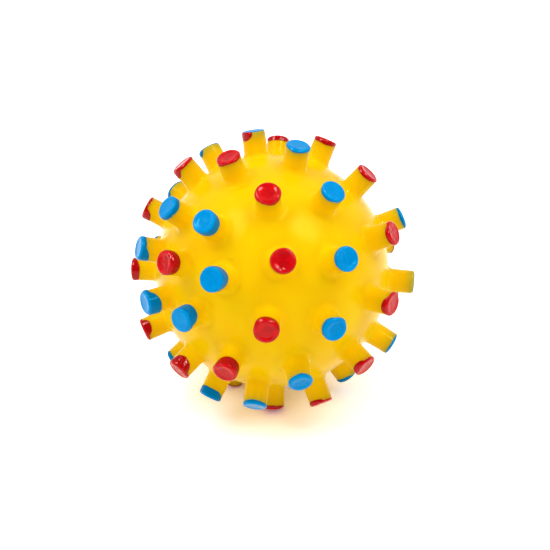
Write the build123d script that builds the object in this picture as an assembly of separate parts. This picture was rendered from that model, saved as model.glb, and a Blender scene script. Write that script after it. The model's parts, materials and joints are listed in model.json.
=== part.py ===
from build123d import *
import os
from math import cos, degrees, radians, sin, sqrt

os.makedirs("parts", exist_ok=True)

# A hollow soft vinyl squeaky ball with blunt round studs in rings about the axis of its mould.
# Frame: millimetres, +Z up, the origin on the floor right under the ball's centre.
# The ball rests on three studs, as it lies in its picture.

# Ball and studs
ball_radius = 32.8
shell_wall = 2.2
stud_length = 7.2  # from the ball to the stud's flat painted end
stud_radius = 3.2
tip_depth = 1.0  # painted length at the end of a stud
tip_film = 0.08  # how far the paint stands proud of the stud
tip_bevel = 0.45

# Squeaker pressed into the port where the second pole stud would be
port_radius = 6.0
flange_radius = 8.2
flange_thickness = 1.3
flange_bevel = 0.3
flange_gap = 0.2  # ring of flat seat left bare around the flange
barrel_depth = 10.5  # below the flange
barb_radius = 6.8
barb_height = 1.6
housing_bore_radius = 4.4
housing_end_wall = 1.6
sound_hole_radius = 1.7

# Reed trough, clamp and reed inside the squeaker's bore
trough_collar = 1.0
channel_width = 2.0
channel_depth = 1.8
channel_stop = 2.4  # solid stretch at the trough's inner end
clamp_length = 1.5
reed_width = 3.0
reed_thickness = 0.2
reed_clearance = 0.15  # on each face of the reed
reed_side_clearance = 0.15
reed_tip_gap = 0.5  # between the reed's free end and the collar

# Rings of studs from the first pole down. Tip colours change from ring to ring. The turn
# of a ring is the longitude of its first stud.
tip_colours = ("red", "blue")
ring_stud_counts = (1, 6, 10, 13, 13, 10, 6)
ring_latitude_degrees = (90.0, 67.5, 42.0, 17.5, -9.0, -39.5, -65.0)
ring_turn_degrees = (0.0, 0.0, -6.0, 15.0, -1.0, -11.5, -6.0)

# Lie of the ball: the spot that faces the floor, and where the painted pole points
floor_latitude_degrees = -21.4
floor_longitude_degrees = 206.7
pole_heading_degrees = 221.6  # about +Z, from +X
full_turn_degrees = 360.0


def mould_direction(latitude, longitude):
    """Unit vector from the ball's centre, with the first pole at +Z."""
    level = cos(radians(latitude))
    east = cos(radians(longitude))
    north = sin(radians(longitude))
    return Vector(level * east, level * north, sin(radians(latitude)))


# Every stud: its latitude, its longitude and the colour of its tip
stud_places = []
for ring, count in enumerate(ring_stud_counts):
    for place in range(count):
        longitude = ring_turn_degrees[ring] + place * full_turn_degrees / count
        colour = tip_colours[ring % len(tip_colours)]
        stud_places.append((ring_latitude_degrees[ring], longitude, colour))

# The floor touches the three studs around the spot that faces it, seen in the mould's frame
floor_spot = mould_direction(floor_latitude_degrees, floor_longitude_degrees)
directions = [mould_direction(latitude, longitude) for latitude, longitude, _ in stud_places]
first, second, third = sorted(directions, key=floor_spot.get_angle)[:3]
down = (second - first).cross(third - first).normalized()
if down.dot(first) < 0:
    down = -down
lean = radians(down.get_angle(first))
tip_reach = ball_radius + stud_length
tip_radius = stud_radius + tip_film
tip_flat_radius = tip_radius - tip_bevel
centre_height = tip_reach * cos(lean) + tip_flat_radius * sin(lean)

# The mould's frame laid on the floor and turned to its heading
pole = Vector(0, 0, 1)
floor_plane = Plane(origin=(0, 0, 0), x_dir=pole + down * -pole.dot(down), z_dir=-down)
mould_location = (
    Location((0, 0, centre_height))
    * Rotation(0, 0, pole_heading_degrees)
    * floor_plane.location.inverse()
)


def radial_location(latitude, longitude):
    """Frame at the ball's centre with its Z along one stud."""
    outward = mould_direction(latitude, longitude)
    across = Vector(-sin(radians(longitude)), cos(radians(longitude)), 0)
    return mould_location * Plane(origin=(0, 0, 0), x_dir=across, z_dir=outward).location


def turned(*outline):
    """Solid turned about Z from an outline of radius and height."""
    profile = Plane.XZ * make_face(Polyline(*outline, close=True))
    return revolve(profile, axis=Axis.Z)


def make_stud():
    """Straight stud whose root is hollowed to sit on the ball."""
    root_height = sqrt(ball_radius**2 - stud_radius**2)
    end_height = tip_reach - tip_depth
    side = Line((stud_radius, root_height), (stud_radius, end_height))
    end = Line(side @ 1, (0, end_height))
    middle = Line(end @ 1, (0, ball_radius))
    root = RadiusArc(middle @ 1, side @ 0, ball_radius)
    profile = Plane.XZ * make_face([side, end, middle, root])
    return revolve(profile, axis=Axis.Z)


def make_tip():
    """Painted end of a stud, with its rim bevelled."""
    face = tip_reach - tip_depth
    shoulder = tip_reach - tip_bevel
    return turned(
        (0, face),
        (tip_radius, face),
        (tip_radius, shoulder),
        (tip_flat_radius, tip_reach),
        (0, tip_reach),
    )


# Squeaker heights along the port's axis, counted from the ball's centre
inner_radius = ball_radius - shell_wall
seat_radius = flange_radius + flange_gap
seat_height = sqrt(ball_radius**2 - seat_radius**2)
flange_top = seat_height + flange_thickness
barrel_bottom = seat_height - barrel_depth
bore_top = flange_top - housing_end_wall
barb_top = sqrt(inner_radius**2 - barb_radius**2)
barb_bottom = barb_top - barb_height
port_location = radial_location(-90.0, 0)


def make_shell():
    """Hollow ball with a flat seat and a round port for the squeaker."""
    ball = Sphere(ball_radius) - Sphere(inner_radius)
    seat = extrude(Plane.XY.offset(seat_height) * Circle(ball_radius), shell_wall)
    port = extrude(Plane.XY.offset(barb_bottom) * Circle(port_radius), ball_radius)
    return ball - seat - port


def make_squeaker_housing():
    """Flanged cup with a snap barb, a bore from inside and a sound hole."""
    return turned(
        (sound_hole_radius, bore_top),
        (sound_hole_radius, flange_top),
        (flange_radius - flange_bevel, flange_top),
        (flange_radius, flange_top - flange_bevel),
        (flange_radius, seat_height),
        (port_radius, seat_height),
        (port_radius, barb_top),
        (barb_radius, barb_top),
        (port_radius, barb_bottom),
        (port_radius, barrel_bottom),
        (housing_bore_radius, barrel_bottom),
        (housing_bore_radius, bore_top),
    )


def half_bore(low, high, side):
    """Half of a round block that fills the squeaker's bore on one side of the reed."""
    block = extrude(Plane.XY.offset(low) * Circle(housing_bore_radius), high - low)
    align = (Align.MIN if side > 0 else Align.MAX, Align.CENTER, Align.MIN)
    room = Box(housing_bore_radius, housing_bore_radius * 2, high - low, align=align)
    return block & room.moved(Location((0, 0, low)))


def make_reed_trough():
    """Half-round carrier with a channel under the reed and a round collar at its mouth."""
    body = half_bore(barrel_bottom, bore_top, -1)
    collar = half_bore(bore_top - trough_collar, bore_top, 1)
    channel_bottom = barrel_bottom + channel_stop
    channel = Box(
        channel_depth,
        channel_width,
        bore_top - channel_bottom,
        align=(Align.MAX, Align.CENTER, Align.MIN),
    )
    return body + collar - channel.moved(Location((0, 0, channel_bottom)))


def make_reed_clamp():
    """Half-round wedge with a slit for the root of the reed."""
    block = half_bore(barrel_bottom, barrel_bottom + clamp_length, 1)
    slit = Box(
        reed_thickness + reed_clearance * 2,
        reed_width + reed_side_clearance * 2,
        clamp_length,
        align=(Align.MIN, Align.CENTER, Align.MIN),
    )
    return block - slit.moved(Location((0, 0, barrel_bottom)))


def make_reed():
    """Thin flat reed that covers the channel."""
    length = bore_top - trough_collar - reed_tip_gap - barrel_bottom
    align = (Align.MIN, Align.CENTER, Align.MIN)
    strip = Box(reed_thickness, reed_width, length, align=align)
    return strip.moved(Location((reed_clearance, 0, barrel_bottom)))


def write_node(name, solids):
    """Writes one node as a group of its separate solids."""
    group = Compound(label=name, children=[Solid(solid.wrapped) for solid in solids])
    export_step(group, f"parts/{name}.step")
    print(name, len(solids), "solids")


stud = make_stud().solid()
tip = make_tip().solid()
studs, tips = [], {colour: [] for colour in tip_colours}
for latitude, longitude, colour in stud_places:
    location = radial_location(latitude, longitude)
    studs.append(stud.moved(location))
    tips[colour].append(tip.moved(location))

write_node("ball_shell", [make_shell().solid().moved(port_location)])
write_node("studs", studs)
for colour in tip_colours:
    write_node(f"{colour}_tips", tips[colour])
write_node("squeaker_housing", [make_squeaker_housing().solid().moved(port_location)])
write_node("reed_trough", [make_reed_trough().solid().moved(port_location)])
write_node("reed_clamp", [make_reed_clamp().solid().moved(port_location)])
write_node("squeaker_reed", [make_reed().solid().moved(port_location)])

# Places for whoever joins or holds the ball
hinge_height = barrel_bottom + clamp_length
hinge = port_location * Location((reed_clearance + reed_thickness / 2, 0, hinge_height))
hinge_axis = (port_location * Location((0, 1, 0))).position - port_location.position
pole_location = radial_location(90.0, 0)
pole_end = pole_location * Location((0, 0, tip_reach))
pole_axis = (pole_end.position - pole_location.position).normalized()
housing_face = port_location * Location((0, 0, flange_top))
print("centre height", centre_height, "lean", degrees(lean))
print("reed hinge", hinge.position, "axis", hinge_axis)
print("pole stud end", pole_end.position, "axis", pole_axis)
print("squeaker face centre", housing_face.position)
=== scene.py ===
# %% [markdown]
# # A studded squeaky ball of soft vinyl
# The real ball is one hollow yellow moulding. Blunt round studs stand all over it, and the flat
# end of each stud is dipped in thick red or blue gloss paint. A small press-in squeaker closes
# the hole through which the ball left its mould. The CAD model gives the places and sizes, and
# this lesson dresses it: soft roots and rounded ends, runs of paint, and the right plastics.

import json
from math import atan2, cos, degrees, pi, radians, sin, sqrt

import bmesh
import bpy
from mathutils import Matrix, Vector, kdtree, noise


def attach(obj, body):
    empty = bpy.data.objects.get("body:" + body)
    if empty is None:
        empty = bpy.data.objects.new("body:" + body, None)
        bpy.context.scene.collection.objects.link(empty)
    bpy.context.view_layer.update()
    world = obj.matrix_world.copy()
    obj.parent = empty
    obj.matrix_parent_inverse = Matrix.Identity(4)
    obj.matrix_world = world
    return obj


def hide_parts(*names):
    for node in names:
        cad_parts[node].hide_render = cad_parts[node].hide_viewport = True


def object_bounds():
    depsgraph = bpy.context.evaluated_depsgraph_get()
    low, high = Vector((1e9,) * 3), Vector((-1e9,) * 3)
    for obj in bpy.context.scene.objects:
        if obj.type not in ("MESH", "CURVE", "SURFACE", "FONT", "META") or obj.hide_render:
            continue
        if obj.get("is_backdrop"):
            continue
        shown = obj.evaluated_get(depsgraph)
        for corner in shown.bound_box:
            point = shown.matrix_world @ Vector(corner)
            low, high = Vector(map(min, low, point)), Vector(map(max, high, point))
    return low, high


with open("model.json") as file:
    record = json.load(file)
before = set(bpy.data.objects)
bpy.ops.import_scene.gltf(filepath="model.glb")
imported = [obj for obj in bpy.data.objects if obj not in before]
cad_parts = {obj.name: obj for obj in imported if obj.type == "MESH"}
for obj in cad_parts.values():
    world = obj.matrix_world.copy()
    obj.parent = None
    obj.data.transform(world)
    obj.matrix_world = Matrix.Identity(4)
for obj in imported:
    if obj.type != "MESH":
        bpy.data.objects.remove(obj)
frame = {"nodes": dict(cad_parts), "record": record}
cad_low, cad_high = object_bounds()
print("CAD box, metres:", tuple(cad_low), tuple(cad_high))

# %% [markdown]
# ## Sizes and the pattern of studs
# The studs stand in rings about the axis of the mould, like lines of latitude on a globe. The
# first pole has a stud of its own and the second pole has the squeaker. Tip colours change
# from ring to ring. These are the same driving sizes as in the CAD source, in metres and
# degrees, so that every new piece lands on its CAD twin without any fitting.

# %% Sizes
MM = 0.001
BALL_RADIUS = 32.8 * MM
SHELL_WALL = 2.2 * MM
STUD_LENGTH = 7.2 * MM
STUD_RADIUS = 3.2 * MM
PAINT_FILM = 0.08 * MM
CAD_TIP_BEVEL = 0.45 * MM
PORT_RADIUS = 6.0 * MM
FLANGE_RADIUS = 8.2 * MM
FLANGE_GAP = 0.2 * MM
SEAT_RADIUS = FLANGE_RADIUS + FLANGE_GAP
TIP_REACH = BALL_RADIUS + STUD_LENGTH

TIP_COLOURS = ("red", "blue")
RING_STUD_COUNTS = (1, 6, 10, 13, 13, 10, 6)
RING_LATITUDES = (90.0, 67.5, 42.0, 17.5, -9.0, -39.5, -65.0)
RING_TURNS = (0.0, 0.0, -6.0, 15.0, -1.0, -11.5, -6.0)  # longitude of a ring's first stud
SECOND_POLE = (-90.0, 0.0)  # latitude and longitude of the squeaker
FLOOR_LATITUDE = -21.4
FLOOR_LONGITUDE = 206.7
POLE_HEADING = 221.6
FULL_TURN = 360.0
HALF_TURN = 180.0
print("ball with studs:", round(2 * TIP_REACH / MM, 2), "mm across")

# %% Places of the studs
stud_places = []
for ring, count in enumerate(RING_STUD_COUNTS):
    for place in range(count):
        longitude = RING_TURNS[ring] + place * FULL_TURN / count
        stud_places.append((ring, place, RING_LATITUDES[ring], longitude))
print("studs:", len(stud_places))

# %% [markdown]
# ## How the ball lies
# Pieces are modelled with the mould's axis upright, because that is the easy way to think of
# them, and are laid down afterwards with one matrix. The ball rests on the three studs nearest
# to the spot that faces the floor. The plane through their ends gives the direction that
# points down, and the heading turns the painted pole to its side.

# %% Lie of the ball


def mould_direction(latitude, longitude):
    """Unit vector from the ball's centre, with the first pole at +Z."""
    level = cos(radians(latitude))
    east, north = level * cos(radians(longitude)), level * sin(radians(longitude))
    return Vector((east, north, sin(radians(latitude))))


floor_spot = mould_direction(FLOOR_LATITUDE, FLOOR_LONGITUDE)
directions = [mould_direction(latitude, longitude) for _, _, latitude, longitude in stud_places]
first, second, third = sorted(directions, key=floor_spot.angle)[:3]
down = (second - first).cross(third - first).normalized()
if down.dot(first) < 0:
    down = -down
lean = down.angle(first)
resting_rim = STUD_RADIUS + PAINT_FILM - CAD_TIP_BEVEL
centre_height = TIP_REACH * cos(lean) + resting_rim * sin(lean)
print("centre of the ball", round(centre_height / MM, 3), "mm above the floor")

# %% Matrix that lays a piece down
pole = Vector((0, 0, 1))
level_x = (pole - down * pole.dot(down)).normalized()
level_y = (-down).cross(level_x)
floor_axes = Matrix((level_x, level_y, -down)).to_4x4()
heading = Matrix.Rotation(radians(POLE_HEADING), 4, "Z")
lay_down = Matrix.Translation((0, 0, centre_height)) @ heading @ floor_axes

pole_end = lay_down @ (pole * TIP_REACH)
mount = Vector(frame["record"]["mounts"][0]["pos_m"])
print("pole stud's end misses its CAD mount by", round((pole_end - mount).length / MM, 4), "mm")

# %% [markdown]
# ## Camera
# The picture was taken from a little above, quite close to the ball, which is why the studs in
# front look larger. The distance and the lens were worked out from where the stud ends lie in
# the picture. Placing the camera first means that every later step can be judged against it.

# %% Camera
CAMERA_ELEVATION = 26.4
CAMERA_DISTANCE = 290 * MM
CAMERA_LENS = 66.8  # millimetres, as on a real lens
CAMERA_SHIFT = (0.0047, -0.0082)  # shares of the picture's width

ball_centre = Vector((0, 0, centre_height))
backwards = Vector((0, -cos(radians(CAMERA_ELEVATION)), sin(radians(CAMERA_ELEVATION))))
bpy.ops.object.select_all(action="DESELECT")
bpy.ops.object.camera_add(location=ball_centre + backwards * CAMERA_DISTANCE)
camera = bpy.context.object
camera.name = "camera"
camera.rotation_euler = backwards.to_track_quat("Z", "Y").to_euler()
camera.data.lens = CAMERA_LENS
camera.data.shift_x, camera.data.shift_y = CAMERA_SHIFT
bpy.context.scene.camera = camera
print("camera at", tuple(round(value, 4) for value in camera.location))

# %% [markdown]
# ## Shader helpers
# A material is a small network of nodes. These helpers add a node, set its values and link it,
# so that the materials below read like recipes.

# %% Shader helpers


def add_node(tree, kind, **values):
    """Adds one node and sets its properties."""
    node = tree.nodes.new(kind)
    for key, value in values.items():
        setattr(node, key, value)
    return node


def set_input(tree, socket, value):
    """Links the value to a node's input if it is a socket, and else sets it."""
    if isinstance(value, bpy.types.NodeSocket):
        tree.links.new(value, socket)
    else:
        socket.default_value = value


def feed(tree, node, **inputs):
    """Sets a node's inputs by name."""
    for name, value in inputs.items():
        set_input(tree, node.inputs[name.replace("_", " ")], value)
    return node


print("made: add_node, set_input, feed")

# %% Sums and groups


def maths(tree, operation, *values):
    """The result of one Math node."""
    node = add_node(tree, "ShaderNodeMath", operation=operation)
    for socket, value in zip(node.inputs, values):
        set_input(tree, socket, value)
    return node.outputs[0]


def new_group(name, inputs, outputs):
    """An empty shader node group with a place and numbers as inputs, and numbers as outputs."""
    group = bpy.data.node_groups.new(name, "ShaderNodeTree")
    group.interface.new_socket("Place", in_out="INPUT", socket_type="NodeSocketVector")
    for label, value in inputs.items():
        socket = group.interface.new_socket(label, in_out="INPUT", socket_type="NodeSocketFloat")
        socket.default_value = value
    for label in outputs:
        group.interface.new_socket(label, in_out="OUTPUT", socket_type="NodeSocketFloat")
    return group, group.nodes.new("NodeGroupInput"), group.nodes.new("NodeGroupOutput")


print("made: maths, new_group")

# %% [markdown]
# ## Moulded skin
# Vinyl cast in a hot metal mould is never perfectly even. Its colour drifts a little, and its
# surface has broad soft waves and a very fine grain copied from the mould. All the plastics
# here share that effect with different strengths, so it is made once as a node group. It puts
# out two masks and a height for a Bump node.

# %% Moulded skin group
USUAL_WAVE = 9.0  # millimetres
USUAL_GRAIN = 0.45
GRAIN_SHARE = 0.12


def noise_of_size(tree, place, size_mm, detail, roughness=0.5):
    """Noise whose blobs are about this many millimetres across; size_mm is a socket."""
    texture = add_node(tree, "ShaderNodeTexNoise")
    scale = maths(tree, "DIVIDE", 1 / MM, size_mm)
    feed(tree, texture, Vector=place, Scale=scale, Detail=detail, Roughness=roughness)
    return texture.outputs["Fac"]


skin_sizes = {"Wave Size": USUAL_WAVE, "Grain Size": USUAL_GRAIN}
skin_group, skin_in, skin_out = new_group("moulded_skin", skin_sizes, ("Drift", "Grain", "Height"))
skin_place = skin_in.outputs["Place"]
wave_size, grain_size = skin_in.outputs["Wave Size"], skin_in.outputs["Grain Size"]
wave = noise_of_size(skin_group, skin_place, wave_size, detail=2.0)
grain = noise_of_size(skin_group, skin_place, grain_size, detail=3.0, roughness=0.6)
skin_height = maths(skin_group, "MULTIPLY_ADD", grain, GRAIN_SHARE, wave)
feed(skin_group, skin_out, Drift=wave, Grain=grain, Height=skin_height)
print("group:", skin_group.name, "nodes:", len(skin_group.nodes))

# %% [markdown]
# ## How far out on a stud
# The ball's thin wall lets light through and glows a little, while the studs are thick and have
# opaque ends, so the vinyl's colour is made deeper towards the end of each stud as painted shade.
# The paint's colour is made deeper down the side of each end, partly for thicker paint that has
# run there and partly as painted shade. Both need to know how far a point is from the ball's
# centre, so that is a group as well: a mask that goes from 0 to 1 between two distances.

# %% Sums with places, and ranges


def vector_maths(tree, operation, *values, result="Vector"):
    """The result of one Vector Math node: a vector, or a number if result is Value."""
    node = add_node(tree, "ShaderNodeVectorMath", operation=operation)
    for socket, value in zip(node.inputs, values):
        set_input(tree, socket, value)
    return node.outputs[result]


def map_range(tree, value, low, high, to_low=0.0, to_high=1.0, interpolation="LINEAR"):
    """Stretches a range of numbers to another range."""
    node = add_node(tree, "ShaderNodeMapRange", interpolation_type=interpolation)
    feed(tree, node, Value=value, From_Min=low, From_Max=high, To_Min=to_low, To_Max=to_high)
    return node.outputs["Result"]


print("made: vector_maths, map_range")

# %% Stud reach group
reach_group, reach_in, reach_out = new_group(
    "stud_reach", {"Start": BALL_RADIUS, "End": TIP_REACH}, ("Mask",)
)
from_centre = vector_maths(
    reach_group, "DISTANCE", reach_in.outputs["Place"], ball_centre, result="Value"
)
reach_ends = reach_in.outputs["Start"], reach_in.outputs["End"]
reach_mask = map_range(reach_group, from_centre, *reach_ends, interpolation="SMOOTHSTEP")
feed(reach_group, reach_out, Mask=reach_mask)
print("group:", reach_group.name, "nodes:", len(reach_group.nodes))

# %% [markdown]
# ## Which colour a stud's end has
# Light that comes through a painted end tints the vinyl behind it, greenish under blue paint and
# orange under red, and that tint is painted into the vinyl's colour as painted light. The vinyl is
# one mesh and doesn't know its studs, but tip colours change from ring to ring, so the angle
# between a point and the mould's axis tells the colour. The ramp holds one value for each ring
# and steps halfway between neighbouring rings.

# %% Ring colour group
rings_group, rings_in, rings_out = new_group("ring_colour", {}, ("Red", "Blue"))
offset = vector_maths(rings_group, "SUBTRACT", rings_in.outputs["Place"], ball_centre)
outward = vector_maths(rings_group, "NORMALIZE", offset)
mould_axis = lay_down.to_3x3() @ pole
along_axis = vector_maths(rings_group, "DOT_PRODUCT", outward, mould_axis, result="Value")
axis_share = maths(rings_group, "DIVIDE", maths(rings_group, "ARCCOSINE", along_axis), pi)

ring_ramp = add_node(rings_group, "ShaderNodeValToRGB")
ring_ramp.color_ramp.interpolation = "CONSTANT"
ring_stops = ring_ramp.color_ramp.elements
ring_stops.remove(ring_stops[1])
ring_stops[0].color = (0, 0, 0, 1)
for ring in range(1, len(RING_LATITUDES)):
    halfway = (RING_LATITUDES[ring - 1] + RING_LATITUDES[ring]) / 2
    is_blue = ring % len(TIP_COLOURS)
    stop = ring_stops.new((RING_LATITUDES[0] - halfway) / HALF_TURN)
    stop.color = (is_blue, is_blue, is_blue, 1)
feed(rings_group, ring_ramp, Fac=axis_share)
blue_mask = ring_ramp.outputs["Color"]
red_mask = maths(rings_group, "SUBTRACT", 1.0, blue_mask)
feed(rings_group, rings_out, Red=red_mask, Blue=blue_mask)
print("group:", rings_group.name, "stops:", len(ring_stops))

# %% [markdown]
# ## Wrinkled film
# Thick paint on a soft toy dries at its skin first, so on some studs it is smooth and on others
# it has shrunk into small wrinkles that break up the gloss. This group gives a height that is
# flat in most places and wrinkled in patches about as large as a few studs.

# %% Wrinkled film group
PATCH_SIZE = 14.0  # millimetres
PATCH_EDGE = (0.45, 0.62)  # noise below the first is smooth, above the second is wrinkled
WRINKLE_SIZE = 0.9

film_sizes = {"Patch Size": PATCH_SIZE, "Wrinkle Size": WRINKLE_SIZE}
film_group, film_in, film_out = new_group("wrinkled_film", film_sizes, ("Height",))
film_place = film_in.outputs["Place"]
patches = noise_of_size(film_group, film_place, film_in.outputs["Patch Size"], detail=0.0)
wrinkled_here = map_range(film_group, patches, *PATCH_EDGE)
wrinkles = noise_of_size(film_group, film_place, film_in.outputs["Wrinkle Size"], detail=1.0)
feed(film_group, film_out, Height=maths(film_group, "MULTIPLY", wrinkled_here, wrinkles))
print("group:", film_group.name, "nodes:", len(film_group.nodes))

# %% [markdown]
# ## One recipe for the plastics
# Each plastic has two close colours that drift into each other, a roughness that changes with
# the grain, and a shallow bump. What differs from one to the next is set by its own values.

# %% Colour by reach


def mix_colours(tree, factor, first, second):
    """Goes from one colour to another; a Mix node's colours are its inputs 6 and 7."""
    node = add_node(tree, "ShaderNodeMix", data_type="RGBA")
    for index, value in ((0, factor), (6, first), (7, second)):
        set_input(tree, node.inputs[index], value)
    return node.outputs[2]


def colour_by_reach(tree, place, colour, other_colour, start_mm, end_mm, tips=None):
    """Changes a colour into another one between two distances from the ball's centre, on
    every stud or only under tips of one colour."""
    reach = feed(tree, add_node(tree, "ShaderNodeGroup", node_tree=reach_group), Place=place)
    feed(tree, reach, Start=start_mm * MM, End=end_mm * MM)
    amount = reach.outputs["Mask"]
    if tips:
        rings = feed(tree, add_node(tree, "ShaderNodeGroup", node_tree=rings_group), Place=place)
        amount = maths(tree, "MULTIPLY", amount, rings.outputs[tips])
    return mix_colours(tree, amount, colour, (*other_colour, 1))


print("made: mix_colours, colour_by_reach")

# %% Plastic recipe
NOISE_SPREAD = (0.3, 0.7)


def plastic(
    name, colour, drift_colour, roughness, bump_mm,
    wave_mm=USUAL_WAVE, grain_mm=USUAL_GRAIN, wrinkles=0.0, reaches=(), **shader,
):
    """A moulded or painted plastic; shader holds plain values for the Principled sockets."""
    material = bpy.data.materials.new(name)
    material.use_nodes = True
    tree = material.node_tree
    surface = tree.nodes["Principled BSDF"]
    place = add_node(tree, "ShaderNodeTexCoord").outputs["Object"]
    skin = feed(tree, add_node(tree, "ShaderNodeGroup", node_tree=skin_group), Place=place)
    feed(tree, skin, Wave_Size=wave_mm, Grain_Size=grain_mm)
    drift = map_range(tree, skin.outputs["Drift"], *NOISE_SPREAD)
    base = mix_colours(tree, drift, (*colour, 1), (*drift_colour, 1))
    for reach in reaches:
        base = colour_by_reach(tree, place, base, *reach)
    rough = map_range(tree, skin.outputs["Grain"], *NOISE_SPREAD, *roughness)
    height = skin.outputs["Height"]
    if wrinkles:
        film = feed(tree, add_node(tree, "ShaderNodeGroup", node_tree=film_group), Place=place)
        height = maths(tree, "MULTIPLY_ADD", film.outputs["Height"], wrinkles, height)
    bump = add_node(tree, "ShaderNodeBump")
    feed(tree, bump, Height=height, Strength=1.0, Distance=bump_mm * MM)
    feed(tree, surface, Base_Color=base, Roughness=rough, Normal=bump.outputs["Normal"], **shader)
    return material


print("usual waves:", USUAL_WAVE, "mm, usual grain:", USUAL_GRAIN, "mm")

# %% [markdown]
# ## The finishes
# The vinyl is a saturated warm yellow with a satin skin. Light sinks up to a few millimetres
# into it, which softens its shadows, so it gets subsurface scattering. The paint is glossier,
# with the slow ripples of a dipped film, and darker down the side of each end, partly where it
# has run thick and partly as painted shade. The gloss of both is tinted a little, because in a
# tent of white light a strong white gloss would make the colours pale. The squeaker is a plain
# white moulding, and its reed is a thin pale film.

# %% Yellow vinyl
YELLOW = (0.905, 0.53, 0.001)
YELLOW_DRIFT = (0.905, 0.58, 0.001)
# painted shade: the vinyl is made deeper towards the end of each stud, where less light gets in
PAINTED_SHADE_STUD_END = (0.67, 0.405, 0.002)
# painted light: olive under blue ends and orange under red ends stand in for light through the
# paint
PAINTED_LIGHT_UNDER_BLUE = (0.49, 0.385, 0.028)
PAINTED_LIGHT_UNDER_RED = (0.57, 0.285, 0.006)
VINYL_REACHES = (  # colour, start and end in millimetres from the centre, and which tips
    (PAINTED_SHADE_STUD_END, 34.0, 40.5),
    (PAINTED_LIGHT_UNDER_BLUE, 37.3, 40.0, "Blue"),
    (PAINTED_LIGHT_UNDER_RED, 38.2, 39.9, "Red"),
)

yellow_vinyl = plastic(
    "yellow_vinyl", YELLOW, YELLOW_DRIFT, roughness=(0.18, 0.27), bump_mm=0.08,
    reaches=VINYL_REACHES,
    Specular_IOR_Level=0.085, Specular_Tint=(1.0, 0.85, 0.25, 1.0),
    Subsurface_Weight=0.4, Subsurface_Radius=(1.0, 0.55, 0.06), Subsurface_Scale=2.5 * MM,
)
print("finish:", yellow_vinyl.name)

# %% Red and blue paint
RED = (0.70, 0.001, 0.004)
RED_DRIFT = (0.46, 0.001, 0.004)
# deeper red for thicker paint that has run, and painted shade on the side of each red end
RED_RUN_AND_PAINTED_SHADE = (0.40, 0.001, 0.003)
BLUE = (0.0, 0.29, 0.67)
BLUE_DRIFT = (0.0, 0.24, 0.61)
# deeper blue for thicker paint that has run, and painted shade on the side of each blue end
BLUE_RUN_AND_PAINTED_SHADE = (0.0, 0.18, 0.44)
PAINT_SURFACE = {"roughness": (0.08, 0.16), "bump_mm": 0.07, "wave_mm": 1.8, "grain_mm": 0.3}
RUN_AND_SHADE_REACH = (39.93, 39.3)  # millimetres from the centre, from the end of a stud down its side

red_paint = plastic(
    "red_paint", RED, RED_DRIFT, wrinkles=3.0, reaches=((RED_RUN_AND_PAINTED_SHADE, *RUN_AND_SHADE_REACH),),
    Specular_IOR_Level=0.18, Specular_Tint=(1.0, 0.95, 0.85, 1.0), **PAINT_SURFACE,
)
blue_paint = plastic(
    "blue_paint", BLUE, BLUE_DRIFT, wrinkles=2.0, reaches=((BLUE_RUN_AND_PAINTED_SHADE, *RUN_AND_SHADE_REACH),),
    Specular_IOR_Level=0.11, Specular_Tint=(0.15, 0.75, 1.0, 1.0), **PAINT_SURFACE,
)
print("finishes:", red_paint.name, blue_paint.name)

# %% Squeaker plastics
CUP_WHITE = (0.80, 0.80, 0.76)
CUP_WHITE_DRIFT = (0.74, 0.74, 0.69)
REED_PALE = (0.66, 0.71, 0.74)
REED_PALE_DRIFT = (0.60, 0.66, 0.70)

squeaker_plastic = plastic(
    "squeaker_plastic", CUP_WHITE, CUP_WHITE_DRIFT, roughness=(0.30, 0.42), bump_mm=0.02,
    wave_mm=5.0,
    Subsurface_Weight=0.2, Subsurface_Radius=(1.0, 0.9, 0.8), Subsurface_Scale=1.0 * MM,
)
reed_film = plastic(
    "reed_film", REED_PALE, REED_PALE_DRIFT, roughness=(0.18, 0.28), bump_mm=0.01, wave_mm=3.0
)
print("finishes:", squeaker_plastic.name, reed_film.name)

# %% [markdown]
# ## Modelling helpers
# An operator acts on everything that is selected, and the CAD nodes come in selected, so each
# step first selects its own piece alone. A round piece is modelled as by hand: a disc is drawn
# at its lowest ring, and its face is pulled up and scaled ring by ring. It could be spun from
# its section too, but this way a ring is only a radius and a height.

# %% Round pieces
SAME_PLACE = 1e-7


def arc(centre_radius, centre_height, radius, start, end, steps):
    """Rings along an arc seen in section; degrees count up from straight out."""
    turns = [radians(start + (end - start) * step / steps) for step in range(steps + 1)]
    return [
        (centre_radius + radius * cos(turn), centre_height + radius * sin(turn)) for turn in turns
    ]


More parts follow.
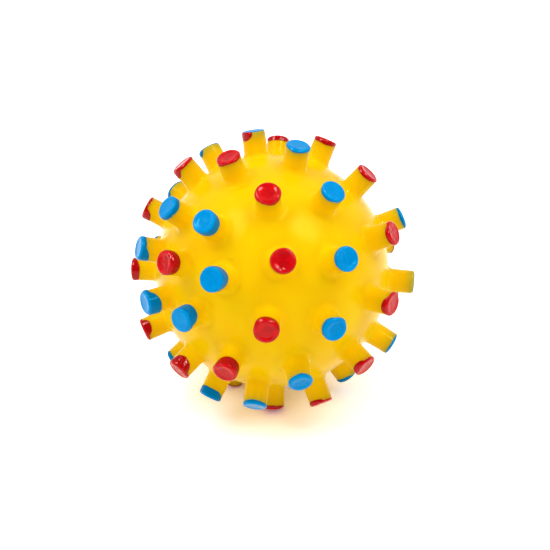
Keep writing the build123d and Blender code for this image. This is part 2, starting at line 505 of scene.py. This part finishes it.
def pull_up(name, rings, sides, shape="closed"):
    """Models a round piece from rings of radius and height. Its shape is "closed", "open" at
    the first ring, or "hollow", which ends where it began."""
    radius, height = rings[0]
    first_height = height
    hollow = shape == "hollow"
    fill = "NOTHING" if hollow else "NGON"
    bpy.ops.object.select_all(action="DESELECT")
    bpy.ops.mesh.primitive_circle_add(
        vertices=sides, radius=radius, fill_type=fill, location=(0, 0, height)
    )
    piece = bpy.context.object
    piece.name = piece.data.name = name
    bpy.ops.object.transform_apply(location=True, rotation=True, scale=True)
    bpy.ops.object.mode_set(mode="EDIT")
    bpy.ops.mesh.select_all(action="SELECT")
    for new_radius, new_height in rings[1:] + (rings[:1] if hollow else []):
        rise = (0, 0, new_height - height)
        bpy.ops.mesh.extrude_region_move(TRANSFORM_OT_translate={"value": rise})
        ratio = new_radius / radius
        bpy.ops.transform.resize(value=(ratio, ratio, 1), center_override=(0, 0, new_height))
        radius, height = new_radius, new_height
    if not hollow:
        bpy.ops.mesh.poke()
    if shape == "open":
        mesh = bmesh.from_edit_mesh(piece.data)
        for face in mesh.faces:
            at_first_ring = abs(face.calc_center_median().z - first_height) < SAME_PLACE
            face.select_set(len(face.verts) == sides and at_first_ring)
        bmesh.update_edit_mesh(piece.data)
        bpy.ops.mesh.delete(type="ONLY_FACE")
    bpy.ops.mesh.select_all(action="SELECT")
    bpy.ops.mesh.remove_doubles(threshold=SAME_PLACE)
    bpy.ops.mesh.normals_make_consistent(inside=False)
    bpy.ops.object.mode_set(mode="OBJECT")
    return piece


quarter = arc(0.0, 0.0, 1.0, start=0, end=90, steps=2)
print("a quarter circle in two steps:", [(round(out, 2), round(up, 2)) for out, up in quarter])

# %% [markdown]
# ## One stud
# A stud rises from the ball in a soft root, narrows a little so that it can be pulled out of
# the mould, and ends in a rounded rim with a slightly sunken middle. A round fillet bends all
# at once where it meets the ball, and its gloss shows that as a ring. So the root follows a
# superellipse instead of a circle: it leaves the ball and joins the side with hardly any bend,
# and turns most sharply halfway.

# %% Stud
STUD_SIDES = 40
ROOT_BLEND = 1.85 * MM
BLEND_POWER = 2.6
BLEND_STEPS = 9
ROOT_RADIUS = STUD_RADIUS + 0.1 * MM
SIDE_SHARES = (0.33, 0.66)  # rings on the side, between the root and the shoulder
END_ROUND = 0.60 * MM
END_HEIGHT = TIP_REACH - 0.1 * MM
SUNK_END_RINGS = ((2.3, 0.1), (1.7, 0.3), (0.5, 0.3))  # radius and depth, in millimetres

foot_radius = ROOT_RADIUS + ROOT_BLEND
shoulder_height = END_HEIGHT - END_ROUND
stud_rings = []
for step in range(BLEND_STEPS + 1):
    turn = pi / 2 * step / BLEND_STEPS
    radius = foot_radius - ROOT_BLEND * sin(turn) ** (2 / BLEND_POWER)
    rise = ROOT_BLEND * (1 - cos(turn) ** (2 / BLEND_POWER))
    stud_rings.append((radius, sqrt(BALL_RADIUS**2 - radius**2) + rise))
root_height = stud_rings[-1][1]
for share in SIDE_SHARES:
    radius = ROOT_RADIUS + (STUD_RADIUS - ROOT_RADIUS) * share
    stud_rings.append((radius, root_height + (shoulder_height - root_height) * share))
rim_centre_radius = STUD_RADIUS - END_ROUND
stud_rings += arc(rim_centre_radius, shoulder_height, END_ROUND, start=0, end=90, steps=4)
stud_rings += [(radius * MM, END_HEIGHT - depth * MM) for radius, depth in SUNK_END_RINGS]
stud = pull_up("stud", stud_rings, STUD_SIDES, shape="open")
print("stud faces:", len(stud.data.polygons), "foot radius:", round(foot_radius / MM, 3), "mm")

# %% [markdown]
# ## The ball
# The ball starts as an icosphere, whose faces are nearly equal all over, so the studs meet the
# same mesh everywhere. It is cut flat at the second pole, the edge of the cut is pulled in to
# make the squeaker's seat, and then inwards through the wall to make the port.

# %% Open edges


def select_open_edges(piece, wanted):
    """In edit mode, selects the open edges whose middle passes a test."""
    bpy.ops.mesh.select_mode(type="EDGE")
    bpy.ops.mesh.select_all(action="DESELECT")
    mesh = bmesh.from_edit_mesh(piece.data)
    for edge in mesh.edges:
        if edge.is_boundary and wanted((edge.verts[0].co + edge.verts[1].co) / 2):
            edge.select_set(True)
    bmesh.update_edit_mesh(piece.data)


print("made: select_open_edges")

# %% Ball with its seat and port
BALL_SUBDIVISIONS = 7
INNER_RADIUS = BALL_RADIUS - SHELL_WALL
PORT_LIP = 0.5 * MM
seat_height = sqrt(BALL_RADIUS**2 - SEAT_RADIUS**2)
inner_height = sqrt(INNER_RADIUS**2 - PORT_RADIUS**2)


def cut_ball(name, subdivisions, radius, cut_height):
    """An icosphere cut flat at its lower pole, left in edit mode with the cut's edge selected."""
    bpy.ops.object.select_all(action="DESELECT")
    bpy.ops.mesh.primitive_ico_sphere_add(subdivisions=subdivisions, radius=radius)
    ball = bpy.context.object
    ball.name = ball.data.name = name
    bpy.ops.object.mode_set(mode="EDIT")
    bpy.ops.mesh.select_all(action="SELECT")
    bpy.ops.mesh.bisect(plane_co=(0, 0, -cut_height), plane_no=(0, 0, -1), clear_outer=True)
    select_open_edges(ball, lambda middle: True)
    return ball


ball = cut_ball("vinyl_moulding", BALL_SUBDIVISIONS, BALL_RADIUS, seat_height)
to_port = PORT_RADIUS / SEAT_RADIUS
through_wall = (0, 0, seat_height - inner_height - PORT_LIP)
bpy.ops.mesh.extrude_region_move(TRANSFORM_OT_translate={"value": (0, 0, 0)})
bpy.ops.transform.resize(value=(to_port, to_port, 1), center_override=(0, 0, -seat_height))
bpy.ops.mesh.extrude_region_move(TRANSFORM_OT_translate={"value": through_wall})
bpy.ops.object.mode_set(mode="OBJECT")
print("ball faces:", len(ball.data.polygons))

# %% [markdown]
# ## Studs on the ball
# The real moulding is one skin. Studs that were only pushed into the ball would leave a seam,
# so a patch of faces is deleted under each stud, the 59 copies of the stud are joined in, and
# each foot is bridged to the edge of its hole.

# %% Holes for the studs
HOLE_MARGIN = 0.35 * MM
stud_points = kdtree.KDTree(len(directions))
for index, direction in enumerate(directions):
    stud_points.insert(direction * BALL_RADIUS, index)
stud_points.balance()

bpy.ops.object.mode_set(mode="EDIT")
mesh = bmesh.from_edit_mesh(ball.data)
for vertex in mesh.verts:
    vertex.tag = stud_points.find(vertex.co)[2] < foot_radius + HOLE_MARGIN
for face in mesh.faces:
    face.select_set(all(vertex.tag for vertex in face.verts))
bmesh.update_edit_mesh(ball.data)
bpy.ops.mesh.delete(type="FACE")
bpy.ops.object.mode_set(mode="OBJECT")
print("ball faces left between the studs:", len(ball.data.polygons))

# %% Copies and joins


def stud_frame(latitude, longitude):
    """Frame at the ball's centre: Z along the stud, X east, Y towards the first pole."""
    outward = mould_direction(latitude, longitude)
    east = Vector((-sin(radians(longitude)), cos(radians(longitude)), 0))
    return Matrix((east, outward.cross(east), outward)).transposed().to_4x4()


def copy_to_stud(piece, latitude, longitude):
    """A copy with a mesh of its own, in the place of one stud."""
    copy = piece.copy()
    copy.data = piece.data.copy()
    bpy.context.collection.objects.link(copy)
    copy.matrix_world = stud_frame(latitude, longitude)
    return copy


def select_only(piece):
    """Deselects everything else."""
    bpy.ops.object.select_all(action="DESELECT")
    piece.select_set(True)
    bpy.context.view_layer.objects.active = piece


def join_into(piece, others):
    """Joins the others into one piece and bakes its place into its mesh."""
    select_only(piece)
    for other in others:
        other.select_set(True)
    bpy.ops.object.join()
    bpy.ops.object.transform_apply(location=True, rotation=True, scale=True)


pole_frame = stud_frame(RING_LATITUDES[0], RING_TURNS[0])
print("the pole's stud points along", [round(value, 3) for value in pole_frame.col[2][:3]])

# %% Join the studs and bridge their feet
BRIDGE_REACH = foot_radius + 4 * HOLE_MARGIN
copies = [copy_to_stud(stud, latitude, longitude) for _, _, latitude, longitude in stud_places]
bpy.data.objects.remove(stud)
bpy.context.view_layer.update()
join_into(ball, copies)

bpy.ops.object.mode_set(mode="EDIT")
for direction in directions:
    root = direction * BALL_RADIUS
    select_open_edges(ball, lambda middle: (middle - root).length < BRIDGE_REACH)
    bpy.ops.mesh.bridge_edge_loops()
bpy.ops.object.mode_set(mode="OBJECT")
print("faces with the studs:", len(ball.data.polygons))

# %% [markdown]
# ## The wall
# A second, smaller icosphere is the inner side of the wall. Its cut edge is bridged to the edge
# of the port, which closes the skin into a hollow solid. A count of faulty edges and the volume
# show whether it worked.

# %% Inner side of the wall
CAVITY_SUBDIVISIONS = 5
cavity = cut_ball("cavity", CAVITY_SUBDIVISIONS, INNER_RADIUS, inner_height)
bpy.ops.object.mode_set(mode="OBJECT")
join_into(ball, [cavity])
bpy.ops.object.mode_set(mode="EDIT")
select_open_edges(ball, lambda middle: True)
bpy.ops.mesh.bridge_edge_loops()
bpy.ops.mesh.select_mode(type="VERT")
bpy.ops.mesh.select_all(action="SELECT")
bpy.ops.mesh.normals_make_consistent(inside=False)
bpy.ops.object.mode_set(mode="OBJECT")

check = bmesh.new()
check.from_mesh(ball.data)
faulty = sum(not edge.is_manifold for edge in check.edges)
print("open or faulty edges:", faulty, "volume:", round(check.calc_volume() / MM**3), "cubic mm")
check.free()

# %% [markdown]
# ## Laying a piece down
# Each finished piece is turned with the ball onto the floor, and its place is baked into its
# mesh. Then it gets its finish, rides on its body and takes the place of its CAD twin.

# %% Lay the moulding down and finish it
SMOOTH_UP_TO = radians(35)


def finish_piece(piece, material, slot, body, *nodes):
    """Lays a piece down with the ball, bakes its place into its mesh and dresses it."""
    select_only(piece)
    piece.matrix_world = lay_down @ piece.matrix_world
    bpy.ops.object.transform_apply(location=True, rotation=True, scale=True)
    bpy.ops.object.shade_smooth_by_angle(angle=SMOOTH_UP_TO)
    piece.data.materials.clear()
    piece.data.materials.append(material)
    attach(piece, body)
    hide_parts(*nodes)
    print(piece.name, "triangles:", sum(len(face.vertices) - 2 for face in piece.data.polygons))


finish_piece(ball, yellow_vinyl, "yellow_vinyl", "ball", "ball_shell", "studs")

# %% [markdown]
# ## Painted ends
# The paint is a film a tenth of a millimetre thick. It covers each stud's end, swells into a
# raised rim, and stops in an uneven line. On the side where the stud went into the paint at a
# slant it runs down in a half moon. A row of the film is given by how far it has slid down the
# stud from its shoulder, so one cap is modelled and each copy has its edge slid to its own line.

# %% Rows of the film
FILM_ROWS = 14
SIDE_ROWS = FILM_ROWS // 2
EDGE_ROUND = 0.10 * MM
EDGE_ROWS = ((0.0, -0.03), (0.0, 0.02), (0.3, 0.065))  # share of the round, lift in millimetres
rim_length = END_ROUND * pi / 2
draft = (ROOT_RADIUS - STUD_RADIUS) / (shoulder_height - root_height)


def on_stud(slide, lift):
    """Radius and height of a point that is slide down the stud's side from its shoulder, or
    up round its rim where slide is negative, and lift above the vinyl."""
    if slide >= 0:
        return STUD_RADIUS + draft * slide + lift, shoulder_height - slide
    turn = min(-slide / END_ROUND, pi / 2)
    reach = END_ROUND + lift
    return rim_centre_radius + reach * cos(turn), shoulder_height + reach * sin(turn)


def film_rows(edge):
    """Rows of the film from its lower edge to the top of the rim, as slide and lift."""
    rows = [(edge - share * EDGE_ROUND, lift * MM) for share, lift in EDGE_ROWS]
    start = edge - EDGE_ROUND
    rows.append((start, PAINT_FILM))
    knee = min(0.0, start - (start + rim_length) * SIDE_ROWS / FILM_ROWS)
    for step in range(1, SIDE_ROWS):
        rows.append((start + (knee - start) * step / (SIDE_ROWS - 1), PAINT_FILM))
    rim_rows = FILM_ROWS - SIDE_ROWS
    for step in range(1, rim_rows + 1):
        rows.append((knee + (-rim_length - knee) * step / rim_rows, PAINT_FILM))
    return rows


print("rows in the film:", len(film_rows(0.0)))

# %% [markdown]
# The cap is a closed film: it starts inside the stud, comes out at its edge, goes up the side
# and round the rim, and dips into a dish. Its rows are found again by their place, which
# doesn't rely on the order in which the vertices were made.

# %% Cap
CAP_SIDES = 48
NOMINAL_EDGE = 1.0 * MM
INNER_RINGS = ((0.4, 0.5), (1.9, 0.45))  # radius and depth, in millimetres
FACE_RINGS = (  # radius and depth in the dish, in millimetres
    (2.45, 0.005), (2.3, 0.025), (2.1, 0.065), (1.9, 0.105),
    (1.65, 0.13), (1.3, 0.14), (0.9, 0.145), (0.4, 0.145),
)
SAME_ROW = 1e-6

film_places = [on_stud(slide, lift) for slide, lift in film_rows(NOMINAL_EDGE)]
top = film_places[-1][1]
cap_rings = [(radius * MM, END_HEIGHT - depth * MM) for radius, depth in INNER_RINGS]
cap_rings += film_places
cap_rings += [(radius * MM, top - sink * MM) for radius, sink in FACE_RINGS]
cap = pull_up("cap", cap_rings, CAP_SIDES)

vertex_rows = {}
for vertex in cap.data.vertices:
    radius, height = sqrt(vertex.co.x**2 + vertex.co.y**2), vertex.co.z
    gaps = [abs(radius - row[0]) + abs(height - row[1]) for row in film_places]
    if min(gaps) < SAME_ROW:
        vertex_rows[vertex.index] = gaps.index(min(gaps))
print("film vertices:", len(vertex_rows), "of", len(cap.data.vertices))

# %% [markdown]
# ## Where the paint runs
# Most studs are painted just past the rim. Near the first pole the paint reaches further down,
# as if that side of the ball had been pressed into the paint. The table holds the runs that
# are seen best, by ring and place: how deep in millimetres, on which side of the stud, and how
# wide to either side, in degrees. Where a fourth number follows, it says how deep the rest of
# that stud's edge is. A side of 90 degrees faces the first pole. The other studs get the usual
# run of their ring.

# %% Paint runs
RING_PAINT_DEPTHS = (0.9, 0.75, 0.12, 0.0, -0.1, -0.2, 0.0)  # millimetres from the shoulder
RING_RUN_DEPTHS = (0.9, 1.6, 1.3, 0.8, 0.7, 0.4, 0.3)  # how much further down in a run
PAINT_RUNS = {
    (0, 0): (1.2, 223, 70),
    (1, 0): (1.6, 200, 80),
    (1, 1): (0.5, 190, 60),
    (1, 2): (1.5, 20, 80),
    (1, 3): (2.2, 15, 85),
    (1, 4): (2.3, 30, 75),
    (1, 5): (1.9, 300, 80),
    (2, 0): (0.5, 200, 50),
    (2, 1): (0.5, 60, 60),
    (2, 2): (1.9, 62, 38),
    (2, 3): (2.0, 52, 52),
    (2, 4): (1.8, 76, 72),
    (2, 5): (1.9, 74, 46),
    (2, 6): (2.7, 60, 62),
    (2, 7): (2.5, 22, 78),
    (2, 8): (1.2, 20, 70),
    (3, 0): (0.3, 150, 50),
    (3, 1): (-0.6, 136, 160),
    (3, 2): (1.7, 58, 34, -0.45),
    (3, 3): (1.2, 45, 45),
    (3, 7): (2.2, 62, 95),
    (3, 8): (0.5, 50, 70),
    (3, 9): (0.3, 60, 50),
    (3, 12): (0.4, 110, 50),
    (4, 0): (0.5, 120, 60),
    (4, 1): (1.0, 132, 80),
    (4, 2): (1.2, 135, 90),
    (4, 8): (0.8, 60, 90),
    (4, 9): (0.9, 85, 50),
    (4, 10): (1.1, 95, 45),
    (4, 11): (1.1, 108, 50),
    (4, 12): (0.6, 120, 55),
    (5, 0): (0.8, 114, 70),
    (5, 1): (1.2, 134, 80),
    (5, 7): (0.9, 78, 60),
    (5, 8): (0.3, 60, 70),
    (5, 9): (0.0, 90, 90, -0.65),
}
print("single runs:", len(PAINT_RUNS))

# %% [markdown]
# Slow noise makes every edge uneven. It is read on a circle round the stud, so that it closes
# without a step, and nearly every stud has a circle of its own. Noise of this kind is zero at
# whole numbers, so where a whole number would come up it is read half a step beside it.

# %% Line of the paint's edge
USUAL_RUN_SIDE = 90
USUAL_RUN_SPREAD = 40
USUAL_RUN_HALF_WIDTH = 55
MOON_POWER = 1.2
NOISE_OFFSET = 0.5
SEEDS_PER_RING = 10
EDGE_WOBBLE = 0.22 * MM
EDGE_SEED_STEP = 1.7
EDGE_WAVES = ((1.3, 1.0), (3.1, 0.5))  # scale and weight of the noise
HIGHEST_EDGE = -0.7 * rim_length


def stud_seed(ring, place):
    """Where a stud reads the slow noise; a few pairs of studs far apart share a place."""
    return SEEDS_PER_RING * ring + place


def turn_between(side, middle):
    """Angle between two sides of a stud, half a turn at most."""
    return abs((side - middle + HALF_TURN) % FULL_TURN - HALF_TURN)


def edge_line(ring, place, side):
    """How far down the paint's edge lies at one side of a stud, in metres."""
    seed = stud_seed(ring, place)
    own = noise.noise(Vector((seed, NOISE_OFFSET, NOISE_OFFSET)))
    usual_side = USUAL_RUN_SIDE + USUAL_RUN_SPREAD * own
    usual_run = (RING_RUN_DEPTHS[ring], usual_side, USUAL_RUN_HALF_WIDTH)
    depth, middle, half_width, *own_depth = PAINT_RUNS.get((ring, place), usual_run)
    even_depth = own_depth[0] if own_depth else RING_PAINT_DEPTHS[ring]
    away = min(turn_between(side, middle) / half_width, 1)
    moon = sqrt(1 - away**2) ** MOON_POWER
    around = Vector((cos(radians(side)), sin(radians(side)), seed * EDGE_SEED_STEP))
    wobble = sum(weight * noise.noise(around * scale) for scale, weight in EDGE_WAVES)
    return max((even_depth + depth * moon) * MM + EDGE_WOBBLE * wobble, HIGHEST_EDGE)


print("edge of the pole's paint at 0 degrees:", round(edge_line(0, 0, 0.0) / MM, 3), "mm down")

# %% [markdown]
# Paint gathers on one side of an end and dries thicker there, and each end dishes more or less
# as it dries. One blue end was touched with red first, so it gets a thin red coat as well,
# whose edge is a half moon under the blue.

# %% Swelling, dishing and smear
FILM_SWELLING = 0.30 * MM
SWELLING_SEED_STEP = 2.3
SWELLING_WAVE = 0.9
SWELLING_SHARE = 0.1
SWELLING_FADE = END_ROUND / 2
DISH_STEPS = (3.7, 1.9)
DISH_LEVEL = 4.5
DISH_USUAL = 1.2
DISH_SPREAD = 1.5
DISH_LIMITS = (0.5, 2.0)
SMEAR_SIDE = 82.0
SMEAR_HALF_WIDTH = 50.0
SMEAR_DEPTH = 1.9 * MM


def clamp(value, lowest, highest):
    """Keeps a number between two limits."""
    return min(max(value, lowest), highest)


def smear_line(ring, place, side):
    """Edge of a thin coat in the wrong colour that one blue end got first."""
    away = min(turn_between(side, SMEAR_SIDE) / SMEAR_HALF_WIDTH, 1)
    return HIGHEST_EDGE + (SMEAR_DEPTH - HIGHEST_EDGE) * sqrt(1 - away**2)


def swelling(ring, place, side):
    """Extra thickness where the paint has gathered on one side of an end."""
    seed = stud_seed(ring, place) + NOISE_OFFSET
    around = Vector((cos(radians(side)), sin(radians(side)), seed * SWELLING_SEED_STEP))
    return FILM_SWELLING * max(0.0, noise.noise(around * SWELLING_WAVE) + SWELLING_SHARE)


def dishing(ring, place):
    """How much deeper than the cap's face an end has dried."""
    across, along = ring * DISH_STEPS[0] + NOISE_OFFSET, place * DISH_STEPS[1] + NOISE_OFFSET
    own = noise.noise(Vector((across, along, DISH_LEVEL)))
    return clamp(DISH_USUAL + DISH_SPREAD * own, *DISH_LIMITS)


print("the pole's end is dished", round(dishing(0, 0), 2), "times as deep as the cap")

# %% Painted copies
FACE_DEPTH = 0.2 * MM
SMEARED_STUD = (3, 1)
SMEAR_FILM = 0.03 * MM


def painted_copy(ring, place, latitude, longitude, line, extra=0.0):
    """A copy of the cap on one stud, with its film slid to its own edge line."""
    copy = copy_to_stud(cap, latitude, longitude)
    dish = dishing(ring, place)
    for vertex in copy.data.vertices:
        if vertex.index not in vertex_rows:
            if vertex.co.z > top - FACE_DEPTH:
                vertex.co.z = top - (top - vertex.co.z) * dish + extra
            continue
        turn = atan2(vertex.co.y, vertex.co.x)
        slide, lift = film_rows(line(ring, place, degrees(turn)))[vertex_rows[vertex.index]]
        if lift > 0:
            on_side = clamp(1 + slide / SWELLING_FADE, 0, 1)
            thicker = swelling(ring, place, degrees(turn)) * on_side + extra
            lift += thicker * lift / PAINT_FILM
        radius, height = on_stud(slide, lift)
        vertex.co = (radius * cos(turn), radius * sin(turn), height)
    return copy


caps = {colour: [] for colour in TIP_COLOURS}
for ring, place, latitude, longitude in stud_places:
    colour = TIP_COLOURS[ring % len(TIP_COLOURS)]
    caps[colour].append(painted_copy(ring, place, latitude, longitude, edge_line))
    if (ring, place) == SMEARED_STUD:
        thinner = SMEAR_FILM - PAINT_FILM
        caps["red"].append(painted_copy(ring, place, latitude, longitude, smear_line, thinner))
print("painted ends:", {colour: len(copies) for colour, copies in caps.items()})

# %% [markdown]
# All ends of one colour become one piece, as all the CAD tips of that colour are one node.

# %% Paint in both colours
bpy.data.objects.remove(cap)
bpy.context.view_layer.update()
for colour, material in (("red", red_paint), ("blue", blue_paint)):
    paint, *others = caps[colour]
    join_into(paint, others)
    paint.name = paint.data.name = f"{colour}_paint"
    finish_piece(paint, material, f"{colour}_paint", "ball", f"{colour}_tips")

# %% [markdown]
# ## Squeaker cup
# The squeaker is a flanged cup pressed into the port, with a snap barb behind the wall. Its
# section is drawn ring by ring from the sound hole, over the flange and the barb, to the bore
# and back to the hole. The real moulding has a rounded flange and a shallow ring sunk into its
# face around the collar of the hole, which the plain CAD cup leaves out.

# %% Squeaker sizes
FLANGE_THICKNESS = 1.3 * MM
FLANGE_ROUND = 0.45 * MM
BARREL_DEPTH = 10.5 * MM
BARB_RADIUS = 6.8 * MM
BARB_HEIGHT = 1.6 * MM
BORE_RADIUS = 4.4 * MM
END_WALL = 1.6 * MM
SOUND_HOLE_RADIUS = 1.7 * MM
HOLE_ROUND = 0.2 * MM
SUNK_RING = (2.8 * MM, 5.6 * MM)
SUNK_DEPTH = 0.35 * MM
SUNK_SLOPE = 0.25 * MM
PRESS_GAP = 0.01 * MM

flange_top = seat_height + FLANGE_THICKNESS
bore_top = flange_top - END_WALL
barb_top = sqrt(INNER_RADIUS**2 - BARB_RADIUS**2)
barrel_radius = PORT_RADIUS - PRESS_GAP
barrel_bottom = seat_height - BARREL_DEPTH
print("squeaker length:", round((flange_top - barrel_bottom) / MM, 2), "mm")

# %% Squeaker cup
CUP_SIDES = 96
hole_rim = (SOUND_HOLE_RADIUS + HOLE_ROUND, flange_top - HOLE_ROUND)
flange_rim = (FLANGE_RADIUS - FLANGE_ROUND, flange_top - FLANGE_ROUND)
cup_rings = [(SOUND_HOLE_RADIUS, bore_top)]
cup_rings += arc(*hole_rim, HOLE_ROUND, start=180, end=90, steps=3)
cup_rings += [
    (SUNK_RING[0] - SUNK_SLOPE, flange_top),
    (SUNK_RING[0], flange_top - SUNK_DEPTH),
    (SUNK_RING[1], flange_top - SUNK_DEPTH),
    (SUNK_RING[1] + SUNK_SLOPE, flange_top),
]
cup_rings += arc(*flange_rim, FLANGE_ROUND, start=90, end=0, steps=5)
cup_rings += [
    (FLANGE_RADIUS, seat_height + PRESS_GAP),
    (barrel_radius, seat_height + PRESS_GAP),
    (barrel_radius, barb_top),
    (BARB_RADIUS - PRESS_GAP, barb_top),
    (barrel_radius, barb_top - BARB_HEIGHT),
    (barrel_radius, barrel_bottom),
    (BORE_RADIUS, barrel_bottom),
    (BORE_RADIUS, bore_top),
]
squeaker_cup = pull_up("squeaker_cup", cup_rings, CUP_SIDES, shape="hollow")
squeaker_cup.matrix_world = stud_frame(*SECOND_POLE)
finish_piece(squeaker_cup, squeaker_plastic, "squeaker_plastic", "ball", "squeaker_housing")

# %% [markdown]
# ## Inside the squeaker
# The CAD trough, clamp and reed have the right shapes already, so they stay and get their
# plastics.

# %% Squeaker finishes
for name, material in (
    ("reed_trough", squeaker_plastic),
    ("reed_clamp", squeaker_plastic),
    ("squeaker_reed", reed_film),
):
    node = frame["nodes"][name]
    node.data.materials.clear()
    node.data.materials.append(material)
    print(name, "gets", material.name)

# %% [markdown]
# ## Floor
# The picture was taken on white, in a tent of soft light. The floor is a pale disc that adds a
# little white of its own for the camera and for reflections, so it shows as white wherever
# the ball's shadow doesn't fall. The ball throws warm light into its own shadow by itself.

# %% Floor
FLOOR_RADIUS = 6.0
FLOOR_SIDES = 128
LIT_PAPER = (0.95, 0.95, 0.95, 1)
SEEN_PAPER = (1.45, 1.45, 1.45, 1)

bpy.ops.object.select_all(action="DESELECT")
bpy.ops.mesh.primitive_circle_add(
    vertices=FLOOR_SIDES, radius=FLOOR_RADIUS, fill_type="NGON", location=(0, 0, 0)
)
floor = bpy.context.object
floor.name = "floor"
paper = bpy.data.materials.new("white_paper")
paper.use_nodes = True
paper_tree = paper.node_tree
paper_tree.nodes.clear()

path = add_node(paper_tree, "ShaderNodeLightPath")
seen = maths(paper_tree, "MAXIMUM", path.outputs["Is Camera Ray"], path.outputs["Is Glossy Ray"])
seen = maths(paper_tree, "MAXIMUM", seen, path.outputs["Is Transmission Ray"])
matt = feed(paper_tree, add_node(paper_tree, "ShaderNodeBsdfDiffuse"), Color=LIT_PAPER)
bright = feed(paper_tree, add_node(paper_tree, "ShaderNodeBsdfDiffuse"), Color=SEEN_PAPER)
paper_mix = add_node(paper_tree, "ShaderNodeMixShader")
for socket, value in zip(paper_mix.inputs, (seen, matt.outputs[0], bright.outputs[0])):
    set_input(paper_tree, socket, value)
feed(paper_tree, add_node(paper_tree, "ShaderNodeOutputMaterial"), Surface=paper_mix.outputs[0])
floor.data.materials.append(paper)
floor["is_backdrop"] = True
print("floor:", 2 * FLOOR_RADIUS, "m across")

# %% [markdown]
# ## Light
# The tent lights the ball almost evenly from all sides. What the gloss shows is another matter:
# the tent's opening towards the camera is dark, which keeps the front of the ball deep in
# colour, and two soft windows give it its broad highlights. The world therefore has one
# brightness for light, one for reflections, and plain white for the camera.

# %% World
TENT_LIGHT = 0.80
OPENING_LIGHT = 0.78
OPENING_WIDTH = 60.0  # degrees from the middle to the edge, as all widths here
TENT_REFLECTION = 0.8
OPENING_REFLECTION = 0.1
REFLECTION_WIDTH = 105.0
WINDOW_EDGE = (16.0, 8.0)
GLOSS_WINDOWS = (  # direction and brightness
    (Vector((-0.55, -0.15, 0.81)), 25.0),
    (Vector((0.48, -0.25, 0.83)), 34.0),
)
BACKGROUND_WHITE = 1.0

world = bpy.data.worlds.new("tent")
bpy.context.scene.world = world
world.use_nodes = True
world_tree = world.node_tree
sky = add_node(world_tree, "ShaderNodeTexCoord").outputs["Generated"]


def spot(direction, outer, inner, outside, inside):
    """Brightness that changes softly around one direction, between two angles from it."""
    facing = vector_maths(world_tree, "DOT_PRODUCT", sky, direction.normalized(), result="Value")
    edge = cos(radians(outer)), cos(radians(inner))
    return map_range(world_tree, facing, *edge, outside, inside, interpolation="SMOOTHSTEP")


def mix_numbers(tree, factor, first, second):
    """Goes from one number to another; a Mix node's numbers are its inputs 2 and 3."""
    node = add_node(tree, "ShaderNodeMix", data_type="FLOAT")
    for index, value in ((0, factor), (2, first), (3, second)):
        set_input(tree, node.inputs[index], value)
    return node.outputs[0]


light = spot(backwards, OPENING_WIDTH, 0.0, outside=TENT_LIGHT, inside=OPENING_LIGHT)
reflected = spot(
    backwards, REFLECTION_WIDTH, 0.0, outside=TENT_REFLECTION, inside=OPENING_REFLECTION
)
for direction, brightness in GLOSS_WINDOWS:
    window = spot(direction, *WINDOW_EDGE, outside=0.0, inside=brightness)
    reflected = maths(world_tree, "ADD", reflected, window)
path = add_node(world_tree, "ShaderNodeLightPath")
tent = mix_numbers(world_tree, path.outputs["Is Glossy Ray"], light, reflected)
camera_ray, clear_ray = path.outputs["Is Camera Ray"], path.outputs["Is Transmission Ray"]
direct = maths(world_tree, "MAXIMUM", camera_ray, clear_ray)
strength = mix_numbers(world_tree, direct, tent, BACKGROUND_WHITE)
feed(world_tree, world_tree.nodes["Background"], Color=(1, 1, 1, 1), Strength=strength)
print("world:", world.name, "windows:", len(GLOSS_WINDOWS))

# %% Lamps
SOFTBOX_SIZE = 0.40
SOFTBOXES = {  # place in metres and power in watts
    "left_softbox": ((-0.40, -0.09, 0.60), 1.75),
    "right_softbox": ((0.34, -0.16, 0.62), 1.5),
}
for name, (place, power) in SOFTBOXES.items():
    bpy.ops.object.select_all(action="DESELECT")
    bpy.ops.object.light_add(type="AREA", location=place)
    lamp = bpy.context.object
    lamp.name = name
    lamp.data.shape = "SQUARE"
    lamp.data.size = SOFTBOX_SIZE
    lamp.data.energy = power
    lamp.visible_glossy = False
    lamp.rotation_euler = (Vector(place) - ball_centre).to_track_quat("Z", "Y").to_euler()
    print(lamp.name, power, "W")
bpy.context.scene.view_settings.view_transform = "Standard"

# %% [markdown]
# ## Sizes, and the end
# Both boxes are printed, with how far the dressed model stands out of the CAD box. The
# dressed model must stay in the CAD model's box.

# %% Print the sizes
low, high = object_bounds()
past_box = (*(cad_low - low), *(high - cad_high))
print("CAD size, mm:", [round(value / MM, 3) for value in cad_high - cad_low])
print("visual size, mm:", [round(value / MM, 3) for value in high - low])
print("visual stands out of the CAD box by, mm:", [round(value / MM, 3) for value in past_box])
